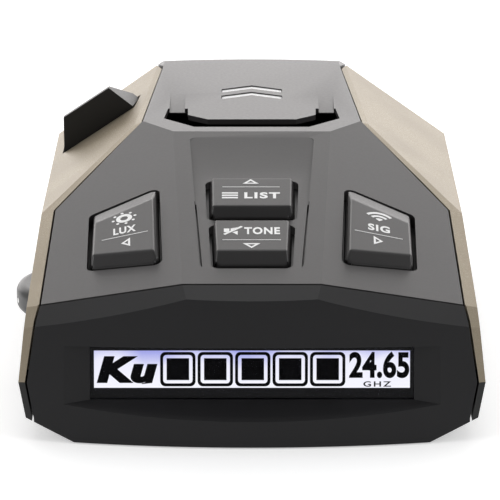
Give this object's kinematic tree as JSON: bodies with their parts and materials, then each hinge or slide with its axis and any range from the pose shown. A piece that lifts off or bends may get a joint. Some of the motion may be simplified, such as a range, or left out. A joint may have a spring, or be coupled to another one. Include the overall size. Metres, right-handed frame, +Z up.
{
  "type": "radar detector",
  "caption": "Dashboard radar detector with a faceted case, sloped key deck, lit display, side volume wheel, mount slot with release tab and power inlet.",
  "frame": {"origin": "middle of the flat face that the detector rests on", "axes": "+X the driver's right, +Y towards the road ahead, +Z up"},
  "size_m": [0.0728, 0.104, 0.0344],
  "materials": {
    "cover_grey": "satin warm grey moulding",
    "champagne": "satin metallic champagne paint",
    "case_black": "fine-textured black moulding",
    "bezel_black": "satin black moulding",
    "key_grey": "satin grey key caps with white print",
    "tab_black": "satin black moulding",
    "wheel_grey": "satin grey moulding with a white index dot",
    "window_clear": "clear polished",
    "display_glass": "polished black display glass with a lit field",
    "lens_dark": "polished dark red infrared window",
    "metal": "tinned sheet",
    "spring_steel": "bright spring wire",
    "screw_steel": "black oxide screws",
    "cast_metal": "die cast",
    "contact_brass": "plated contact",
    "board_green": "solder mask",
    "component_black": "moulded component bodies",
    "capacitor_can": "drawn can",
    "flex_amber": "polyimide ribbon",
    "cone_paper": "pressed paper cone",
    "legend_white": "white print",
    "display_lit": "lit display field with black symbols"
  },
  "bodies": {
    "case": {"top_cover": "cover_grey", "left_side_panel": "champagne", "right_side_panel": "champagne", "bottom_case": "case_black", "display_bezel": "bezel_black", "antenna_fascia": "case_black", "laser_lens": "lens_dark", "mount_guide": "case_black", "release_spring": "spring_steel", "volume_control": "component_black", "power_jack": "component_black", "power_pin": "contact_brass", "display_window": "window_clear", "display_module": "display_glass", "display_flex": "flex_amber", "key_flex": "flex_amber", "key_board": "board_green", "key_board_screws": "screw_steel", "key_switches": "component_black", "main_board": "board_green", "board_screws": "screw_steel", "case_screws": "screw_steel", "horn_antenna": "cast_metal", "shield_can": "metal", "laser_sensor": "component_black", "main_chip": "component_black", "capacitors": "capacitor_can", "speaker_frame": "component_black", "speaker_magnet": "metal"},
    "menu_key_body": {"menu_key": "key_grey", "menu_plunger": "component_black"},
    "mute_key_body": {"mute_key": "key_grey", "mute_plunger": "component_black"},
    "dim_key_body": {"dim_key": "key_grey", "dim_plunger": "component_black"},
    "sensitivity_key_body": {"sensitivity_key": "key_grey", "sensitivity_plunger": "component_black"},
    "release": {"release_tab": "tab_black"},
    "wheel": {"volume_wheel": "wheel_grey", "volume_shaft": "metal"},
    "cone": {"speaker_cone": "cone_paper"}
  },
  "joints": [
    {"name": "menu_press", "type": "slide", "parent": "case", "child": "menu_key_body", "axis": [0, 0.181, -0.9835], "range_m": [0, 0.0006], "stiffness_N_per_m": 900, "springref_m": -0.0003},
    {"name": "mute_press", "type": "slide", "parent": "case", "child": "mute_key_body", "axis": [0, 0.181, -0.9835], "range_m": [0, 0.0006], "stiffness_N_per_m": 900, "springref_m": -0.0003},
    {"name": "dim_press", "type": "slide", "parent": "case", "child": "dim_key_body", "axis": [0, 0.181, -0.9835], "range_m": [0, 0.0006], "stiffness_N_per_m": 900, "springref_m": -0.0003},
    {"name": "sensitivity_press", "type": "slide", "parent": "case", "child": "sensitivity_key_body", "axis": [0, 0.181, -0.9835], "range_m": [0, 0.0006], "stiffness_N_per_m": 900, "springref_m": -0.0003},
    {"name": "release_press", "type": "slide", "parent": "case", "child": "release", "axis": [0, 0, -1], "range_m": [0, 0.0018], "stiffness_N_per_m": 500, "springref_m": -0.001, "deforming": ["release_spring"]},
    {"name": "volume_turn", "type": "hinge", "parent": "case", "child": "wheel", "pos_m": [-0.02885, -0.021, 0.0135], "axis": [0, 0, 1], "range_deg": [-135, 135]},
    {"name": "cone_stroke", "type": "slide", "parent": "case", "child": "cone", "axis": [0, 0, 1], "range_m": [-0.0003, 0.0003], "stiffness_N_per_m": 900}
  ]
}
